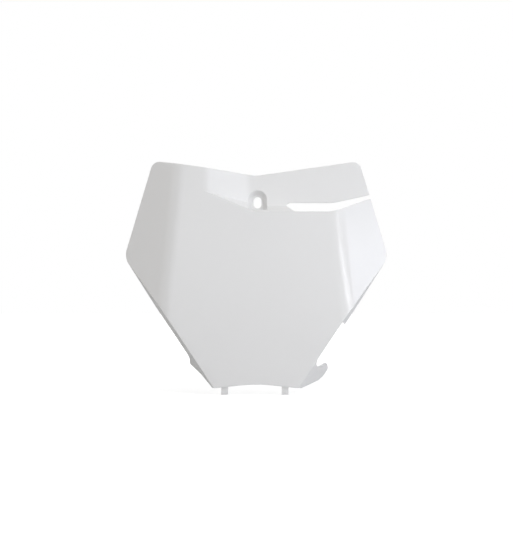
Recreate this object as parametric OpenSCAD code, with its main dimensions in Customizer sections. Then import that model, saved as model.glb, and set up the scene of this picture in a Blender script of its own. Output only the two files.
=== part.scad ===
// Front number board of an off-road motorcycle, moulded in one piece.
// The board stands upright as on the machine: its face looks along -Y and Z is up.
// The origin is the middle of the bolt slot, on the back of the pocket floor.
// Inside the modules x is measured from the middle of the board, y from the front
// of the face (growing towards the back) and z from the middle of the bolt slot.

/* [Board outline] */
// Height of the top edge above the bolt slot, in the middle of the board
top_mid_z = 25.4; // [20:0.1:32]
// Distance of each top corner from the middle of the board
top_corner_x = 98.8; // [90:0.1:108]
// Height of each top corner above the bolt slot
top_corner_z = 39.5; // [32:0.1:46]
// Distance of each widest corner from the middle of the board
wide_corner_x = 127.6; // [118:0.1:138]
// Drop of each widest corner below the bolt slot
wide_corner_z = 53.2; // [44:0.1:62]
// Drop of the kink in each lower edge below the bolt slot, where the bend runs out
knee_z = 106; // [98:0.5:114]
// Distance of each bottom corner from the middle of the board
foot_x = 40.2; // [38:0.1:46]
// Drop of the bottom edge below the bolt slot
foot_z = 177.6; // [168:0.1:188]
// Rise of the bottom edge in its middle
foot_arch = 2.2; // [1:0.1:4]
// Radius of the dip in the top edge
top_dip_r = 22; // [8:1:40]
// Radius of the top corners
top_corner_r = 8.5; // [4:0.5:12]
// Radius of the widest corners
wide_corner_r = 16.5; // [8:0.5:20]
// Radius of the bottom corners
foot_r = 1.5; // [0.5:0.1:3]

/* [Wall and wings] */
// Thickness of the moulded wall
wall = 2.3; // [1.8:0.1:3]
// Angle by which each wing is bent back from the face
wing_angle = 27; // [20:0.5:32]
// Distance of the bend from the middle of the board, at the height of the bolt slot
bend_x = 77.5; // [72:0.1:84]
// Angle by which each bend leans outwards towards the bottom
bend_tilt = 5.6; // [3:0.1:8]
// Outer radius of the bend
bend_r = 34; // [20:1:45]

/* [Upper band] */
// Depth of the band behind the face
step_depth = 15; // [11:0.5:18]
// Distance to the left of the middle at which the wall starts to swing back
swing_start_x = 51.5; // [48:0.1:56]
// Distance to the left of the middle at which the wall reaches the band
swing_end_x = 4.5; // [3:0.1:8]
// Radius in which the wall leaves the face
swing_start_r = 24; // [12:1:30]
// Radius in which the wall turns into the band
swing_end_r = 18; // [10:1:22]
// Drop of the level part of the step below the bolt slot
step_z = 9.4; // [8.6:0.1:12]
// Place at which the step turns level, to the right of the middle
step_turn_x = -1.3; // [-4:0.1:4]
// Slope of the rising part of the step
step_slope = 22.2; // [19:0.1:25]
// Slope of the shelf that joins the face to the band
shelf_slope = 20.8; // [16:0.1:26]

/* [Hose slot] */
// Distance of the slot's pointed end from the middle of the board
slot_tip_x = 28.2; // [22:0.1:34]
// Drop of the slot's pointed end below its upper edge
slot_tip_drop = 2.1; // [1:0.1:3]
// Distance from the tip at which the slot has its full height
slot_run_in = 8.5; // [6:0.1:12]
// Height of the band's lower edge above or below the bolt slot
slot_top_z = -0.6; // [-2:0.1:1]
// Distance from the middle at which the slot starts to rise to the side
slot_rise_x = 74; // [66:0.5:82]
// Rise of the band's lower edge from there to the side
slot_rise_top = 7.2; // [5:0.1:9]
// Height of the slot at its open end
slot_mouth = 3.8; // [3:0.1:6]
// Distance of the open end from the middle of the board
slot_end_x = 107; // [104:0.5:112]
// Radius where the slot turns upwards
slot_bend_r = 45; // [20:1:60]

/* [Bolt pocket] */
// Distance of the bolt slot to the right of the middle
bolt_x = 1.35; // [0:0.05:3]
// Width of the bolt slot
bolt_slot_w = 7.5; // [6.6:0.1:8.5]
// Height of the bolt slot
bolt_slot_h = 11.1; // [9:0.1:12]
// Radius of the pocket at the band
pocket_r = 9; // [8:0.1:10.5]
// Radius of the pocket at its floor
pocket_floor_r = 5.3; // [5:0.1:6]
// Depth of the pocket behind the band
pocket_depth = 6; // [4:0.5:8]
// Thickness of the pocket floor
pocket_floor = 3; // [2.4:0.1:4]
// Height of the pocket's round end above the bolt slot's middle
pocket_arch_z = 2.5; // [1.5:0.1:3.5]
// Drop of the pocket's lower wall below the bolt slot's middle
pocket_drop = 7.4; // [6.8:0.1:7.8]

/* [Rear flange] */
// Height of the flange behind the wall
flange_h = 14; // [10:0.5:16]
// Angle by which the flange leans outwards behind the face
flange_flare = 16; // [8:0.5:20]
// Angle by which the flange leans outwards behind each wing, seen from the front
wing_flare = 13; // [8:0.5:16]
// Height above the bottom corner at which the right flange starts
hose_gap_end = 75.5; // [70:0.5:84]
// Length over which the flange runs out below each widest corner
flange_run_out = 46; // [30:1:56]
// Height of the left ear
ear_h = 29; // [24:0.5:32]
// Distance of the ear's point above the bottom corner
ear_s = 31.5; // [28:0.5:35]

/* [Hose hook] */
// Height of the hook behind the face
hook_h = 32.5; // [29:0.5:35]
// Angle by which the hook leans outwards
hook_flare = 28; // [22:0.5:32]
// Distance of the hook's tip above the bottom corner
hook_tip_s = 34.4; // [32:0.1:37]
// Depth behind the face of the saddle in which the hose lies
hook_saddle_h = 10.5; // [8:0.5:12]
// Distance of the saddle above the bottom corner
hook_saddle_s = 26.2; // [24:0.1:28]

/* [Fender lugs] */
// Width of each lug
lug_w = 6.4; // [5:0.1:8]
// Length of each lug below the bottom edge
lug_l = 6; // [4:0.1:8]
// Distance between the middles of the two lugs
lug_pitch = 57.5; // [50:0.5:64]
// Distance of the pair to the left of the middle
lug_off = 1.2; // [0:0.1:3]
// Thickness of the lug's side ribs
lug_rib = 1.5; // [1.2:0.1:2]
// Height of the lug's side ribs behind the face
lug_rib_h = 5.5; // [4:0.1:8]
// Setback of the lug's web behind the front of the face
lug_setback = 1; // [0.5:0.1:1.5]

/* [Hidden] */

// Most steps in which an arc is drawn, and the shortest step
arc_steps = 12;
arc_chord = 0.6;
// Distance that is past every edge of the board
far = 260;
// Overlap where one wall runs into another
lap = 1;
// Front of the face and front of the pocket floor, seen from the origin
face_fwd = step_depth + pocket_depth + pocket_floor;
floor_d = step_depth + pocket_depth;
// Where the bend crosses the lower edge
knee_x = bend_x + knee_z * tan(bend_tilt);
// Lower edge of the face: its lean from upright, and its length up to the bend
edge_lean = atan2(knee_x - foot_x, foot_z - knee_z);
edge_l = norm([knee_x - foot_x, foot_z - knee_z]);
// Lower edge of the wing, in the wing's own plane
wing_edge = in_wing(wide_corner_x, -wide_corner_z) - in_wing(knee_x, -knee_z);
wing_lean = atan2(wing_edge[0], wing_edge[1]);
// Turn that keeps the wing's flange at its flare, as the wing itself is folded back
wing_turn = wing_flare + atan(tan(wing_angle) * cos(edge_lean + bend_tilt));
// Directions across the bend, along it and behind it, on the face and on the wing
across = [cos(bend_tilt), 0, sin(bend_tilt)];
along = [-sin(bend_tilt), 0, cos(bend_tilt)];
back = [0, 1, 0];
wing_across = cos(wing_angle) * across + sin(wing_angle) * back;
wing_back = cos(wing_angle) * back - sin(wing_angle) * across;
// Directions up each lower edge, and up the flange behind it
face_up = [sin(edge_lean), 0, cos(edge_lean)];
face_rise = sin(flange_flare) * [cos(edge_lean), 0, -sin(edge_lean)] + cos(flange_flare) * back;
wing_up = sin(wing_lean) * wing_across + cos(wing_lean) * along;
wing_rise = sin(wing_turn) * (cos(wing_lean) * wing_across - sin(wing_lean) * along)
            + cos(wing_turn) * wing_back;
// Line from the knee in which the outer sides of the two flanges meet, as high as the flange
seam_way = cross(cross(face_up, face_rise), cross(wing_up, wing_rise));
seam = seam_way * flange_h / (seam_way * face_rise);
// Start of the flange, ear and hook above the bottom corner, and radius of their foot
edge_start = 0.5;
edge_foot_r = 1;
// Radius in which the flange runs out, and radius of its free corners
flange_r = 12;
flange_corner_r = 3;
// Ear: [height behind the face, way up the edge] of its foot, waist and shoulder, radius of its
// point, and the length over which it comes down to the flange
ear_foot = [5, 1.2];
ear_waist = [9, 10];
ear_shoulder = [14, 18.5];
ear_point_r = 1.6;
ear_fall = 9;
// Hook: its foot and heel, thickness at the tip, height and radius of its nose, radius of its back
hook_foot = [5, 1];
hook_heel = [hook_h - 4, 16];
hook_tip_w = 8.5;
hook_nose_h = 9;
hook_nose_r = 2.5;
hook_r = 4;
// Hook's saddle: radius of its bottom, rise to the nose, and rise back to the board's edge
hook_saddle_r = 2;
hook_rise = [6, 2.6];
hook_root = [3, 2.5];
hook_root_l = 6.5;
// Lug's ribs: width at the tip as a share of their height, length of the slanted tip, and setback
// below the web's top
lug_tip = 0.6;
lug_slant = 3;
lug_rib_drop = 2;
// Radii of the hose slot at its pointed end and above it
slot_tip_r = 0.8;
slot_top_r = 2;
// Lower edge of the hose slot at the side, and the slope at which it rises there
slot_side_z = slot_top_z + slot_rise_top - slot_mouth;
slot_slope = slot_rise_top / (slot_end_x - slot_rise_x);
// Slope of the straight wall between the two arcs that carry it back to the band
swing_way = [swing_start_x - swing_end_x, swing_start_r + swing_end_r - step_depth];
swing_turn = asin((swing_start_r + swing_end_r) / norm(swing_way)) - atan2(swing_way[1], swing_way[0]);

// The arc that rounds the corner b between a and c
function rounded_corner(a, b, c, r) =
    let (u = (a - b) / norm(a - b), v = (c - b) / norm(c - b),
         half = acos(u * v) / 2,
         centre = b + (u + v) / norm(u + v) * r / sin(half),
         p = b + u * r / tan(half) - centre, q = b + v * r / tan(half) - centre,
         from = atan2(p[1], p[0]), turn = atan2(q[1], q[0]) - from,
         sweep = turn > 180 ? turn - 360 : turn < -180 ? turn + 360 : turn)
    let (steps = max(2, min(arc_steps, ceil(abs(sweep) * PI / 180 * r / arc_chord))))
    [for (i = [0:steps]) centre + r * [cos(from + sweep * i / steps),
                                       sin(from + sweep * i / steps)]];
// An outline whose corners are rounded with the radius that is their third value
function xy(p) = [p[0], p[1]];
function rounded(pts) =
    let (n = len(pts))
    [for (i = [0:n - 1])
        let (a = xy(pts[(i + n - 1) % n]), b = xy(pts[i]), c = xy(pts[(i + 1) % n]))
        each pts[i][2] > 0 ? rounded_corner(a, b, c, pts[i][2]) : [b]];
function backwards(pts) = [for (i = [len(pts) - 1:-1:0]) pts[i]];

// Section of the face and one wing, square to the bend, at a depth below the surface
function fold_line(depth) =
    let (reach = bend_r * tan(wing_angle / 2),
         tip = (far - reach) * [cos(wing_angle), sin(wing_angle)])
    concat([[-far, depth]],
           [for (i = [0:arc_steps]) let (a = wing_angle * i / arc_steps)
               [-reach, bend_r] + (bend_r - depth) * [sin(a), -cos(a)]],
           [tip + depth * [-sin(wing_angle), cos(wing_angle)]]);

// Section of the wall that swings back from the face to the band
function swing_line(depth) =
    concat([for (i = [0:arc_steps]) let (a = swing_turn * i / arc_steps)
               [-swing_start_x, swing_start_r] + (swing_start_r - depth) * [sin(a), -cos(a)]],
           [for (i = [arc_steps:-1:0]) let (a = swing_turn * i / arc_steps)
               [-swing_end_x, step_depth - swing_end_r] + (swing_end_r + depth) * [-sin(a), cos(a)]],
           [[far, step_depth + depth]]);

// A shape seen from the front, the side or above, given its depth
module seen_from_front(d0, d1)
    translate([0, d1, 0]) rotate([90, 0, 0]) linear_extrude(d1 - d0) children();
module seen_from_side(x0, x1)
    translate([x0, 0, 0]) rotate([90, 0, 90]) linear_extrude(x1 - x0) children();
module seen_from_above(z0, z1)
    translate([0, 0, z0]) linear_extrude(z1 - z0) children();

// Edge of the board as it is seen from the front
module outline() {
    half = [[foot_x, -foot_z, foot_r], [knee_x, -knee_z, 0], [wide_corner_x, -wide_corner_z, wide_corner_r],
            [top_corner_x, top_corner_z, top_corner_r]];
    polygon(rounded(concat(
        [[0, -foot_z + 2 * foot_arch, foot_x * foot_x / (5 * foot_arch)]], half,
        [[0, top_mid_z, top_dip_r]],
        [for (p = backwards(half)) [-p[0], p[1], p[2]]])));
}

// Places its children against the bend, on the right or on the left (side = -1)
module at_bend(side)
    mirror([side < 0 ? 1 : 0, 0, 0])
        translate([bend_x, 0, 0]) rotate([0, -bend_tilt, 0]) children();

// Everything behind the outer surface of one half of the board
module half_behind(side)
    at_bend(side) seen_from_above(-far, far)
        polygon(concat(fold_line(0), [[far, far], [-far, far]]));

// What is cut from the face, above the step and above the hose slot's lower edge
module above_face()
    polygon(rounded([
        [-swing_start_x, -step_z + (step_turn_x + swing_start_x) * tan(step_slope), 0],
        [step_turn_x, -step_z, 0],
        [slot_rise_x, -step_z, slot_bend_r],
        [slot_end_x, slot_side_z, 0],
        [far, slot_side_z + (far - slot_end_x) * slot_slope, 0],
        [far, far, 0], [-swing_start_x, far, 0]]));

// Face with its two wings, not yet cut to the outline
module face()
    difference() {
        for (side = [-1, 1])
            intersection() {
                at_bend(side) seen_from_above(-far, far)
                    polygon(concat(fold_line(0), backwards(fold_line(wall))));
                mirror([side < 0 ? 1 : 0, 0, 0])
                    translate([-lap, -far, -far]) cube(2 * far);
            }
        seen_from_front(-2 * lap, far) above_face();
    }

// Space above the step, lowered by a distance square to the shelf
module above_step(drop = 0) {
    low = -drop / cos(shelf_slope);
    rise = far / 2 * tan(shelf_slope);
    wedge = [[-far / 2, low - rise], [far / 2, low + rise], [far / 2, far], [-far / 2, far]];
    intersection() {
        translate([0, 0, -step_z]) seen_from_side(-far, far) polygon(wedge);
        translate([step_turn_x, 0, -step_z]) rotate([0, step_slope, 0])
            seen_from_side(-far, far) polygon(wedge);
    }
}

// Band behind the face, with the wall that swings back to it, not yet cut to the outline
module band()
    intersection() {
        seen_from_above(-far, far)
            polygon(concat(swing_line(0), backwards(swing_line(wall))));
        above_step(wall / 2);
    }

// Shelf between the top edge of the face and the band
module shelf()
    intersection() {
        difference() {
            above_step(wall);
            above_step();
        }
        seen_from_above(-far, far)
            polygon(concat([[-swing_start_x, 0]], swing_line(wall / 2), [[far, 0]]));
        translate([-far, -far, -far]) cube([far + slot_tip_x + slot_run_in + wall, 2 * far, 2 * far]);
    }

// The whole wall, cut to the outline
module moulded_wall()
    intersection() {
        seen_from_front(-lap, far / 2) outline();
        union() {
            face();
            difference() {
                union() {
                    band();
                    shelf();
                }
                hose_slot();
            }
        }
    }

// Slot for the brake hose under the band, pointed at its left end and open at the side
module hose_slot() {
    low = -step_z - 2 * wall;
    tip_z = slot_top_z - slot_tip_drop;
    run = slot_run_in * (tip_z - low) / (tip_z + step_z);
    seen_from_front(-far / 2, far / 2)
        polygon(rounded([
            [slot_tip_x, tip_z, slot_tip_r],
            [slot_tip_x + run, low, 0],
            [far / 2, low, 0],
            [far / 2, slot_top_z + slot_rise_top + (far / 2 - slot_end_x) * slot_slope, 0],
            [slot_end_x, slot_top_z + slot_rise_top, 0],
            [slot_rise_x, slot_top_z, slot_bend_r],
            [slot_tip_x + slot_run_in / 2, slot_top_z, slot_top_r]]));
}

// Section of the pocket across the bolt slot, widened all round by a wall
module pocket_section(grow, d0, d1) {
    slope = (pocket_r - pocket_floor_r) / pocket_depth;
    w0 = pocket_r + grow + slope * (step_depth - d0);
    w1 = pocket_floor_r + grow + slope * (floor_d - d1);
    polygon([[-w0, d0], [w0, d0], [w1, d1], [-w1, d1]]);
}

// Tapered arch with straight sides below it
module pocket_body(grow, d0, d1)
    translate([bolt_x, 0, 0]) {
        translate([0, 0, pocket_arch_z]) rotate_to_back()
            rotate_extrude($fn = 64) intersection() {
                pocket_section(grow, d0, d1);
                translate([0, -far]) square(2 * far);
            }
        seen_from_above(-pocket_drop - grow, pocket_arch_z) pocket_section(grow, d0, d1);
    }
// Turns a revolved profile so that its axis runs from front to back
module rotate_to_back() rotate([-90, 0, 0]) children();

// Walls of the bolt pocket behind the band and under the shelf
module bolt_boss() {
    pocket_body(wall, step_depth + wall / 4, floor_d + pocket_floor);
    difference() {
        translate([bolt_x - pocket_r - wall, wall / 2, -pocket_drop - wall])
            cube([2 * (pocket_r + wall), step_depth + wall / 2, pocket_drop + pocket_arch_z + 2 * wall]);
        above_step(wall / 4);
    }
}

// Hollow of the pocket, and the way into it through the shelf
module bolt_pocket() {
    pocket_body(0, step_depth - lap, floor_d);
    translate([bolt_x - pocket_r, -lap, -pocket_drop])
        cube([2 * pocket_r, step_depth + lap, pocket_drop + pocket_arch_z]);
}

// Upright slot for the bolt
module bolt_slot()
    translate([bolt_x, floor_d - lap, 0]) {
        reach = pocket_floor + 2 * lap;
        straight = bolt_slot_h - bolt_slot_w;
        for (z = [-1, 1]) translate([0, 0, z * straight / 2])
            rotate_to_back() cylinder(d = bolt_slot_w, h = reach, $fn = 64);
        translate([-bolt_slot_w / 2, 0, -straight / 2]) cube([bolt_slot_w, reach, straight]);
    }

// Plate behind the lower edge of the face: points are [height behind the edge, way up the edge]
module edge_plate(side, flare, pts)
    mirror([side < 0 ? 1 : 0, 0, 0])
        translate([foot_x, 0, -foot_z]) rotate([0, edge_lean, 0]) rotate([0, 0, -flare])
            seen_from_side(-wall, 0) polygon(rounded(pts));

// The same behind the lower edge of one wing, folded back with it
module wing_plate(side, pts) {
    knee = in_wing(knee_x, -knee_z);
    at_bend(side) rotate([0, 0, wing_angle]) translate([knee[0], 0, knee[1]])
        rotate([0, wing_lean, 0]) rotate([0, 0, -wing_turn])
            seen_from_side(-wall, 0) polygon(rounded(pts));
}

// A point of the front view, in the plane of the wing
function in_wing(x, z) =
    [((x - bend_x) * cos(bend_tilt) + z * sin(bend_tilt)) / cos(wing_angle),
     -(x - bend_x) * sin(bend_tilt) + z * cos(bend_tilt)];

// Everything beside the lower right edge, up to a height above the bottom corner
module beside_edge(up_to)
    translate([foot_x, 0, -foot_z]) rotate([0, edge_lean, 0])
        translate([-far, -far, -far]) cube([2 * far, 2 * far, far + up_to]);

// Flange behind both lower edges, with the ear at its lower left end
module flanges() {
    seam_end = [[flange_h, edge_l + seam * face_up, 0], [0, edge_l, 0]];
    plain = [[0, edge_start, 0], [flange_h, edge_start, 0]];
    ear = [[0, edge_start, 0], concat(ear_foot, edge_foot_r), concat(ear_waist, flange_r),
           concat(ear_shoulder, flange_r), [ear_h, ear_s, ear_point_r],
           [flange_h + flange_corner_r, ear_s + ear_fall / 2, flange_corner_r],
           [flange_h, ear_s + ear_fall, 2 * flange_corner_r]];
    wing_end = norm(wing_edge) - wide_corner_r / 2;
    for (side = [-1, 1])
        intersection() {
            half_behind(side);
            difference() {
                union() {
                    edge_plate(side, flange_flare, concat(side > 0 ? plain : ear, seam_end));
                    wing_plate(side, [[0, 0, 0], [seam * wing_rise, seam * wing_up, 0],
                                      [flange_h, wing_end - flange_run_out, flange_r], [0, wing_end, 0]]);
                }
                if (side > 0) beside_edge(hose_gap_end);
            }
        }
}

// Hook at the lower right that keeps the hose in place
module hose_hook()
    edge_plate(1, hook_flare,
        [[0, edge_start, 0], concat(hook_foot, edge_foot_r), concat(hook_heel, flange_corner_r),
         [hook_h, hook_tip_s - hook_r - hook_tip_w, hook_r], [hook_h, hook_tip_s - hook_r, hook_r],
         [hook_h - hook_nose_h, hook_tip_s, hook_nose_r],
         concat([hook_saddle_h, hook_saddle_s] + hook_rise, flange_corner_r),
         [hook_saddle_h, hook_saddle_s, hook_saddle_r],
         [hook_root[0], hook_saddle_s + hook_root[1], flange_corner_r],
         [0, hook_saddle_s + hook_root_l, 0]]);

// Lug that drops behind the front fender
module lug() {
    top = -foot_z + foot_arch + wall;
    low = -foot_z - lug_l;
    translate([-lug_w / 2, lug_setback, low]) cube([lug_w, wall, top - low]);
    for (s = [-1, 1])
        translate([s * (lug_w - lug_rib) / 2 - lug_rib / 2, lug_setback, 0])
            seen_from_side(0, lug_rib)
                polygon([[0, low], [lug_rib_h * lug_tip, low], [lug_rib_h, low + lug_slant],
                         [lug_rib_h, top - lug_rib_drop], [wall / 2, top + lug_rib_h], [0, top]]);
}

module number_board()
    color("white") translate([-bolt_x, -face_fwd, 0]) {
        difference() {
            union() {
                moulded_wall();
                bolt_boss();
                flanges();
                hose_hook();
                for (s = [-1, 1]) translate([s * lug_pitch / 2 - lug_off, 0, 0]) lug();
            }
            bolt_pocket();
            bolt_slot();
        }
    }

number_board();
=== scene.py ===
import math

import bmesh
import bpy
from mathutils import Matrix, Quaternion, Vector


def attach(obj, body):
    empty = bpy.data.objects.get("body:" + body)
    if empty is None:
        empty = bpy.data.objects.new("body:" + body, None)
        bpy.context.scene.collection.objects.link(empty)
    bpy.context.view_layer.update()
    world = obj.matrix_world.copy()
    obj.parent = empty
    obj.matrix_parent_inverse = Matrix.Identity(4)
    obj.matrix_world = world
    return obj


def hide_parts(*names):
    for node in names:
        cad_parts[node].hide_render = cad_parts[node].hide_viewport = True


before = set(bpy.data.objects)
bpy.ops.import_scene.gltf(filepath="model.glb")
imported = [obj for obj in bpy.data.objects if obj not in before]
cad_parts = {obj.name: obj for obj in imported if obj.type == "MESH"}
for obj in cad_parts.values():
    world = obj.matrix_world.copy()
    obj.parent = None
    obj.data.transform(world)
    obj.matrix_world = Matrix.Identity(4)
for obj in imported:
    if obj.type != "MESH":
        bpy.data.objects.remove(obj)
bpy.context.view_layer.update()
scene = bpy.context.scene

# Camera, square to the face and level with its middle. Lengths are in metres throughout,
# apart from the sensor and the lens, which are in millimetres
view = {
    "place": (-0.00107, -1.324, -0.07415),
    "tilt": 90.0,
    "sensor": 36.0,
    "lens": 96.03,
    "nearest": 0.01,
}


def makeCamera():
    data = bpy.data.cameras.new("camera")
    data.sensor_fit = "HORIZONTAL"
    data.sensor_width = view["sensor"]
    data.lens = view["lens"]
    data.clip_start = view["nearest"]
    camera = bpy.data.objects.new("camera", data)
    camera.location = view["place"]
    camera.rotation_euler = (math.radians(view["tilt"]), 0, 0)
    scene.collection.objects.link(camera)
    scene.camera = camera


makeCamera()
print("camera: 1.3 m in front of the face")


# Shared helpers
def newObject(name, mesh):
    obj = bpy.data.objects.new(name, mesh)
    scene.collection.objects.link(obj)
    return obj


# Turns an object with its modifiers into a plain mesh
def flatten(obj):
    depsgraph = bpy.context.evaluated_depsgraph_get()
    mesh = bpy.data.meshes.new_from_object(obj.evaluated_get(depsgraph))
    obj.modifiers.clear()
    obj.data = mesh
    return obj


# Adds nodes to one tree. A value that is a socket is linked, any other is set
class Nodes:
    def __init__(self, tree):
        self.tree = tree

    def link(self, start, end):
        self.tree.links.new(start, end)

    def fill(self, socket, value):
        if isinstance(value, bpy.types.NodeSocket):
            self.link(value, socket)
        else:
            socket.default_value = value

    def add(self, kind, inputs=None, **settings):
        node = self.tree.nodes.new(kind)
        for key, value in settings.items():
            setattr(node, key, value)
        for key, value in (inputs or {}).items():
            self.fill(node.inputs[key], value)
        return node

    def calculate(self, operation, *values):
        return self.add("ShaderNodeMath", dict(enumerate(values)), operation=operation).outputs[0]

    # Goes from first to second as the factor goes from 0 to 1. The kind is FLOAT or RGBA
    def blend(self, kind, factor, first, second):
        node = self.add("ShaderNodeMix", data_type=kind)
        sockets = [socket for socket in node.inputs if socket.enabled]
        for socket, value in zip(sockets, (factor, first, second)):
            self.fill(socket, value)
        return [socket for socket in node.outputs if socket.enabled][0]

    # 0 where the value is at start, 1 where it is at end, and even between
    def rise(self, value, start, end):
        return self.add("ShaderNodeMapRange", {"Value": value, "From Min": start,
                                               "From Max": end}).outputs["Result"]

    # 1 for what the camera sees, straight or in gloss or glass, and 0 for what only gets light
    def seen(self):
        path = self.add("ShaderNodeLightPath").outputs
        mirrored = self.calculate("MAXIMUM", path["Is Glossy Ray"], path["Is Transmission Ray"])
        return self.calculate("MAXIMUM", path["Is Camera Ray"], mirrored)


# Moulded white polypropylene: glossy over faint flow marks, slow sink waves and a fine skin.
# Its edges are rounded as they leave the mould, softer along the step, and rubbed a little
# duller. Scales are in waves per metre. sideLean is how squarely a wall faces front or back,
# first where it is still glossy and then where it is dull. rubTurn is how well the rounded
# direction agrees with the wall's own, first where nothing is rubbed and then where all is
plastic = {
    "colour": (0.830, 0.829, 0.824, 1.0),
    "flowColour": (0.815, 0.814, 0.811, 1.0),
    "rubColour": (0.79, 0.79, 0.785, 1.0),
    "roughness": 0.15,
    "flowRoughness": 0.18,
    "rubRoughness": 0.40,
    "sideRoughness": 0.80,
    "sideLean": (0.75, 0.35),
    "ior": 1.49,
    "glow": 0.4,
    "glowDepth": 0.004,
    "flowScale": 11.0,
    "flowDetail": 2.0,
    "flowGrit": 0.4,
    "flowTwist": 0.3,
    "flowStretch": (1.0, 1.0, 0.35),
    "waveScale": 17.0,
    "waveDetail": 0.0,
    "waveHeight": 0.00010,
    "skinScale": 2400.0,
    "skinDetail": 1.0,
    "skinHeight": 0.000002,
    "rubScale": 600.0,
    "rubTurn": (0.99, 0.80),
    "edgeRadius": 0.0006,
    "edgeSamples": 8,
    "stepRadius": 0.0009,
    "stepHeights": (-0.011, -0.0085),
}


# The wall's direction with its edges rounded over, with more radius at the height of the step
def roundedWall(nodes, place):
    low, high = plastic["stepHeights"]
    height = nodes.add("ShaderNodeSeparateXYZ", {"Vector": place}).outputs["Z"]
    atStep = nodes.calculate("COMPARE", height, (low + high) / 2, (high - low) / 2)
    radius = nodes.blend("FLOAT", atStep, plastic["edgeRadius"], plastic["stepRadius"])
    bevel = nodes.add("ShaderNodeBevel", {"Radius": radius}, samples=plastic["edgeSamples"])
    return bevel.outputs["Normal"]


# 0 on the walls, up to 1 in specks along the rounded edges
def rubbedEdge(nodes, place, rounded):
    wall = nodes.add("ShaderNodeNewGeometry").outputs["Normal"]
    turn = nodes.add("ShaderNodeVectorMath", {0: rounded, 1: wall}, operation="DOT_PRODUCT")
    worn = nodes.rise(turn.outputs["Value"], *plastic["rubTurn"])
    speck = nodes.add("ShaderNodeTexNoise", {"Vector": place, "Scale": plastic["rubScale"]})
    return nodes.calculate("MULTIPLY", worn, speck.outputs["Fac"])


# 0 on the polished face, 1 on the sides that slid along the mould
def dullSide(nodes, aimed):
    facing = nodes.add("ShaderNodeSeparateXYZ", {"Vector": aimed}).outputs["Y"]
    return nodes.rise(nodes.calculate("ABSOLUTE", facing), *plastic["sideLean"])


# Slow sink waves and the fine skin, laid over the rounded wall
def wavedSkin(nodes, place, rounded):
    wave = nodes.add("ShaderNodeTexNoise", {"Vector": place, "Scale": plastic["waveScale"],
                                            "Detail": plastic["waveDetail"]})
    skin = nodes.add("ShaderNodeTexNoise", {"Vector": place, "Scale": plastic["skinScale"],
                                            "Detail": plastic["skinDetail"]})
    waves = nodes.add("ShaderNodeBump", {"Height": wave.outputs["Fac"], "Distance": plastic["waveHeight"],
                                         "Normal": rounded})
    grain = nodes.add("ShaderNodeBump", {"Height": skin.outputs["Fac"], "Distance": plastic["skinHeight"],
                                         "Normal": waves.outputs["Normal"]})
    return grain.outputs["Normal"]


def makePlastic():
    material = bpy.data.materials.new("whitePolypropylene")
    material.use_nodes = True
    nodes = Nodes(material.node_tree)
    shader = nodes.tree.nodes["Principled BSDF"].inputs
    shader["IOR"].default_value = plastic["ior"]
    # light goes a little way into the wall, which softens the hollows and the thin rims
    shader["Subsurface Weight"].default_value = plastic["glow"]
    shader["Subsurface Radius"].default_value = (1.0, 1.0, 1.0)
    shader["Subsurface Scale"].default_value = plastic["glowDepth"]
    where = nodes.add("ShaderNodeTexCoord").outputs
    place = where["Object"]
    rounded = roundedWall(nodes, place)
    rub = rubbedEdge(nodes, place, rounded)
    # the melt ran up and down, so its marks are longer that way
    stretched = nodes.add("ShaderNodeMapping", {"Vector": place, "Scale": plastic["flowStretch"]})
    flow = nodes.add("ShaderNodeTexNoise", {
        "Vector": stretched.outputs["Vector"],
        "Scale": plastic["flowScale"],
        "Detail": plastic["flowDetail"],
        "Roughness": plastic["flowGrit"],
        "Distortion": plastic["flowTwist"],
    }).outputs["Fac"]
    body = nodes.blend("RGBA", flow, plastic["colour"], plastic["flowColour"])
    nodes.link(nodes.blend("RGBA", rub, body, plastic["rubColour"]), shader["Base Color"])
    polish = nodes.blend("FLOAT", flow, plastic["roughness"], plastic["flowRoughness"])
    side = dullSide(nodes, where["Normal"])
    finish = nodes.blend("FLOAT", side, polish, plastic["sideRoughness"])
    nodes.link(nodes.blend("FLOAT", rub, finish, plastic["rubRoughness"]), shader["Roughness"])
    nodes.link(wavedSkin(nodes, place, rounded), shader["Normal"])
    return material


whitePlastic = makePlastic()
print("plastic: white polypropylene, glossy face and dull sides")

# The board, from a merged copy of the solid. Its walls are smooth up to each sharp edge
board = {
    "sharperThan": 26.0,
    "mergeWithin": 0.00001,
}


# Marks the sharp edges, smooths the walls between them and puts the plastic on
def wallShading():
    tree = bpy.data.node_groups.new("wallShading", "GeometryNodeTree")
    face = tree.interface
    face.new_socket("Board", in_out="INPUT", socket_type="NodeSocketGeometry")
    turn = face.new_socket("Sharper Than", in_out="INPUT", socket_type="NodeSocketFloat")
    plain = face.new_socket("Plastic", in_out="INPUT", socket_type="NodeSocketMaterial")
    face.new_socket("Board", in_out="OUTPUT", socket_type="NodeSocketGeometry")
    nodes = Nodes(tree)
    start = nodes.add("NodeGroupInput").outputs
    angle = nodes.add("GeometryNodeInputMeshEdgeAngle").outputs["Unsigned Angle"]
    sharp = nodes.add("FunctionNodeCompare", {0: angle, 1: start["Sharper Than"]}, operation="GREATER_THAN")
    smooth = nodes.add("GeometryNodeSetShadeSmooth", {"Geometry": start["Board"], "Shade Smooth": True},
                       domain="FACE")
    cut = nodes.add("GeometryNodeSetShadeSmooth", {
        "Geometry": smooth.outputs[0],
        "Selection": sharp.outputs[0],
        "Shade Smooth": False,
    }, domain="EDGE")
    real = nodes.add("GeometryNodeRealizeInstances", {"Geometry": cut.outputs[0]})
    dressed = nodes.add("GeometryNodeSetMaterial", {"Geometry": real.outputs[0],
                                                    "Material": start["Plastic"]})
    nodes.add("NodeGroupOutput", {"Board": dressed.outputs[0]})
    return tree, turn.identifier, plain.identifier


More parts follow.
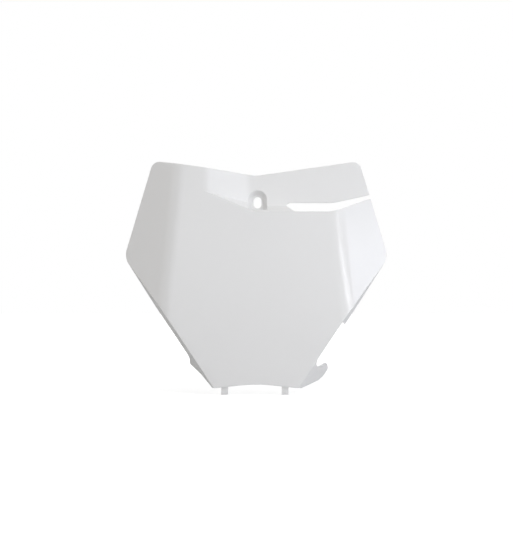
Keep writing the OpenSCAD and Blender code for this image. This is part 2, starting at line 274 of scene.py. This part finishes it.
def mergedCopy(solid):
    mesh = solid.data.copy()
    bm = bmesh.new()
    bm.from_mesh(mesh)
    bmesh.ops.remove_doubles(bm, verts=bm.verts, dist=board["mergeWithin"])
    openEdges = sum(not edge.is_manifold for edge in bm.edges)
    print("board: faces", len(bm.faces), "open edges", openEdges)
    bm.to_mesh(mesh)
    bm.free()
    if "custom_normal" in mesh.attributes:  # the solid's own normals no longer fit
        mesh.attributes.remove(mesh.attributes["custom_normal"])
    return mesh


def makeBoard():
    obj = newObject("board_shell", mergedCopy(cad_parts["number_board"]))
    tree, turn, plain = wallShading()
    shading = obj.modifiers.new("wallShading", "NODES")
    shading.node_group = tree
    shading[turn] = math.radians(board["sharperThan"])
    shading[plain] = whitePlastic
    even = obj.modifiers.new("evenWalls", "WEIGHTED_NORMAL")
    even.keep_sharp = True
    return flatten(obj)


shell = makeBoard()
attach(shell, "root")
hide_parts("number_board")
print("board: polygons", len(shell.data.polygons))

# Pale floor under the lugs. It looks white, with the board's soft shadow on it, and the lift to
# plain white is whole at the far reach
floorSet = {
    "size": 6.0,
    "level": -0.184,
    "colour": (0.60, 0.60, 0.60, 1.0),
    "lift": 0.66,
    "shadowReach": (0.25, 0.8),
}


def floorMaterial():
    material = bpy.data.materials.new("paleFloor")
    material.use_nodes = True
    nodes = Nodes(material.node_tree)
    nodes.tree.nodes.clear()
    place = nodes.add("ShaderNodeTexCoord").outputs["Object"]
    away = nodes.add("ShaderNodeVectorMath", {0: place}, operation="LENGTH").outputs["Value"]
    strength = nodes.blend("FLOAT", nodes.rise(away, *floorSet["shadowReach"]), floorSet["lift"], 1.0)
    paper = nodes.add("ShaderNodeBsdfDiffuse", {"Color": floorSet["colour"]}).outputs[0]
    glow = nodes.add("ShaderNodeEmission", {"Strength": strength}).outputs[0]
    lifted = nodes.add("ShaderNodeAddShader", {0: paper, 1: glow}).outputs[0]
    both = nodes.add("ShaderNodeMixShader", {0: nodes.seen(), 1: paper, 2: lifted}).outputs[0]
    nodes.add("ShaderNodeOutputMaterial", {"Surface": both})
    return material


def makeFloor():
    half = floorSet["size"] / 2
    corners = [(-half, -half), (half, -half), (half, half), (-half, half)]
    mesh = bpy.data.meshes.new("floor")
    mesh.from_pydata([(x, y, floorSet["level"]) for x, y in corners], [],
                     [tuple(range(len(corners)))])
    mesh.materials.append(floorMaterial())
    newObject("floor", mesh)


makeFloor()

# White all round where it is seen, and a softer even light on the board
surround = {
    "light": 0.33,
    "white": 1.0,
}


def makeSurround():
    world = bpy.data.worlds.new("studio")
    scene.world = world
    world.use_nodes = True
    nodes = Nodes(world.node_tree)
    nodes.tree.nodes.clear()
    light = nodes.add("ShaderNodeBackground", {"Color": (1, 1, 1, 1), "Strength": surround["light"]})
    white = nodes.add("ShaderNodeBackground", {"Color": (1, 1, 1, 1), "Strength": surround["white"]})
    both = nodes.add("ShaderNodeMixShader", {0: nodes.seen(), 1: light.outputs[0], 2: white.outputs[0]})
    nodes.add("ShaderNodeOutputWorld", {"Surface": both.outputs[0]})


makeSurround()

# Soft boxes: place, width and height, power in watts, colour, and roll in degrees. All look at
# the middle of the board. The strip is a long low box that draws the streak of light down the
# bend on the right
lamps = {
    "rightHigh": {
        "place": (0.72, -0.84, 0.46),
        "size": (0.5, 0.75),
        "power": 3.5,
        "colour": (0.93, 0.95, 1),
    },
    "strip": {
        "place": (0.70, -0.89, -0.05),
        "size": (0.56, 0.09),
        "power": 1.3,
        "colour": (0.96, 0.97, 1),
        "roll": -16.0,
    },
    "rightLow": {
        "place": (1.2, -0.4, -0.02),
        "size": (0.8, 0.3),
        "power": 2.5,
        "colour": (0.88, 0.90, 1),
    },
    "top": {
        "place": (0.1, -0.5, 1.3),
        "size": (1.3, 0.9),
        "power": 5.2,
        "colour": (1, 0.995, 0.98),
    },
    "left": {
        "place": (-1.1, -0.9, 0.35),
        "size": (0.8, 1.1),
        "power": 1.2,
        "colour": (1, 0.89, 0.78),
    },
    "low": {
        "place": (0.0, -1.9, 0.02),
        "size": (1.6, 0.36),
        "power": 2.1,
        "colour": (0.97, 0.985, 1),
    },
    "back": {
        "place": (-0.4, 1.5, 0.6),
        "size": (1.4, 1.0),
        "power": 7.5,
        "colour": (1, 1, 1),
    },
}
boardMiddle = Vector((0, 0, -0.07))


def makeLamp(name, lamp):
    data = bpy.data.lights.new(name, "AREA")
    data.shape = "RECTANGLE"
    data.size, data.size_y = lamp["size"]
    data.energy = lamp["power"]
    data.color = lamp["colour"]
    obj = bpy.data.objects.new(name, data)
    obj.location = lamp["place"]
    aim = (boardMiddle - obj.location).to_track_quat("-Z", "Y")
    roll = Quaternion((0, 0, 1), math.radians(lamp.get("roll", 0)))
    obj.rotation_euler = (aim @ roll).to_euler()
    scene.collection.objects.link(obj)


for name, lamp in lamps.items():
    makeLamp("lamp_" + name, lamp)
scene.view_settings.view_transform = "Standard"
print("stage: floor, surround and lamps")
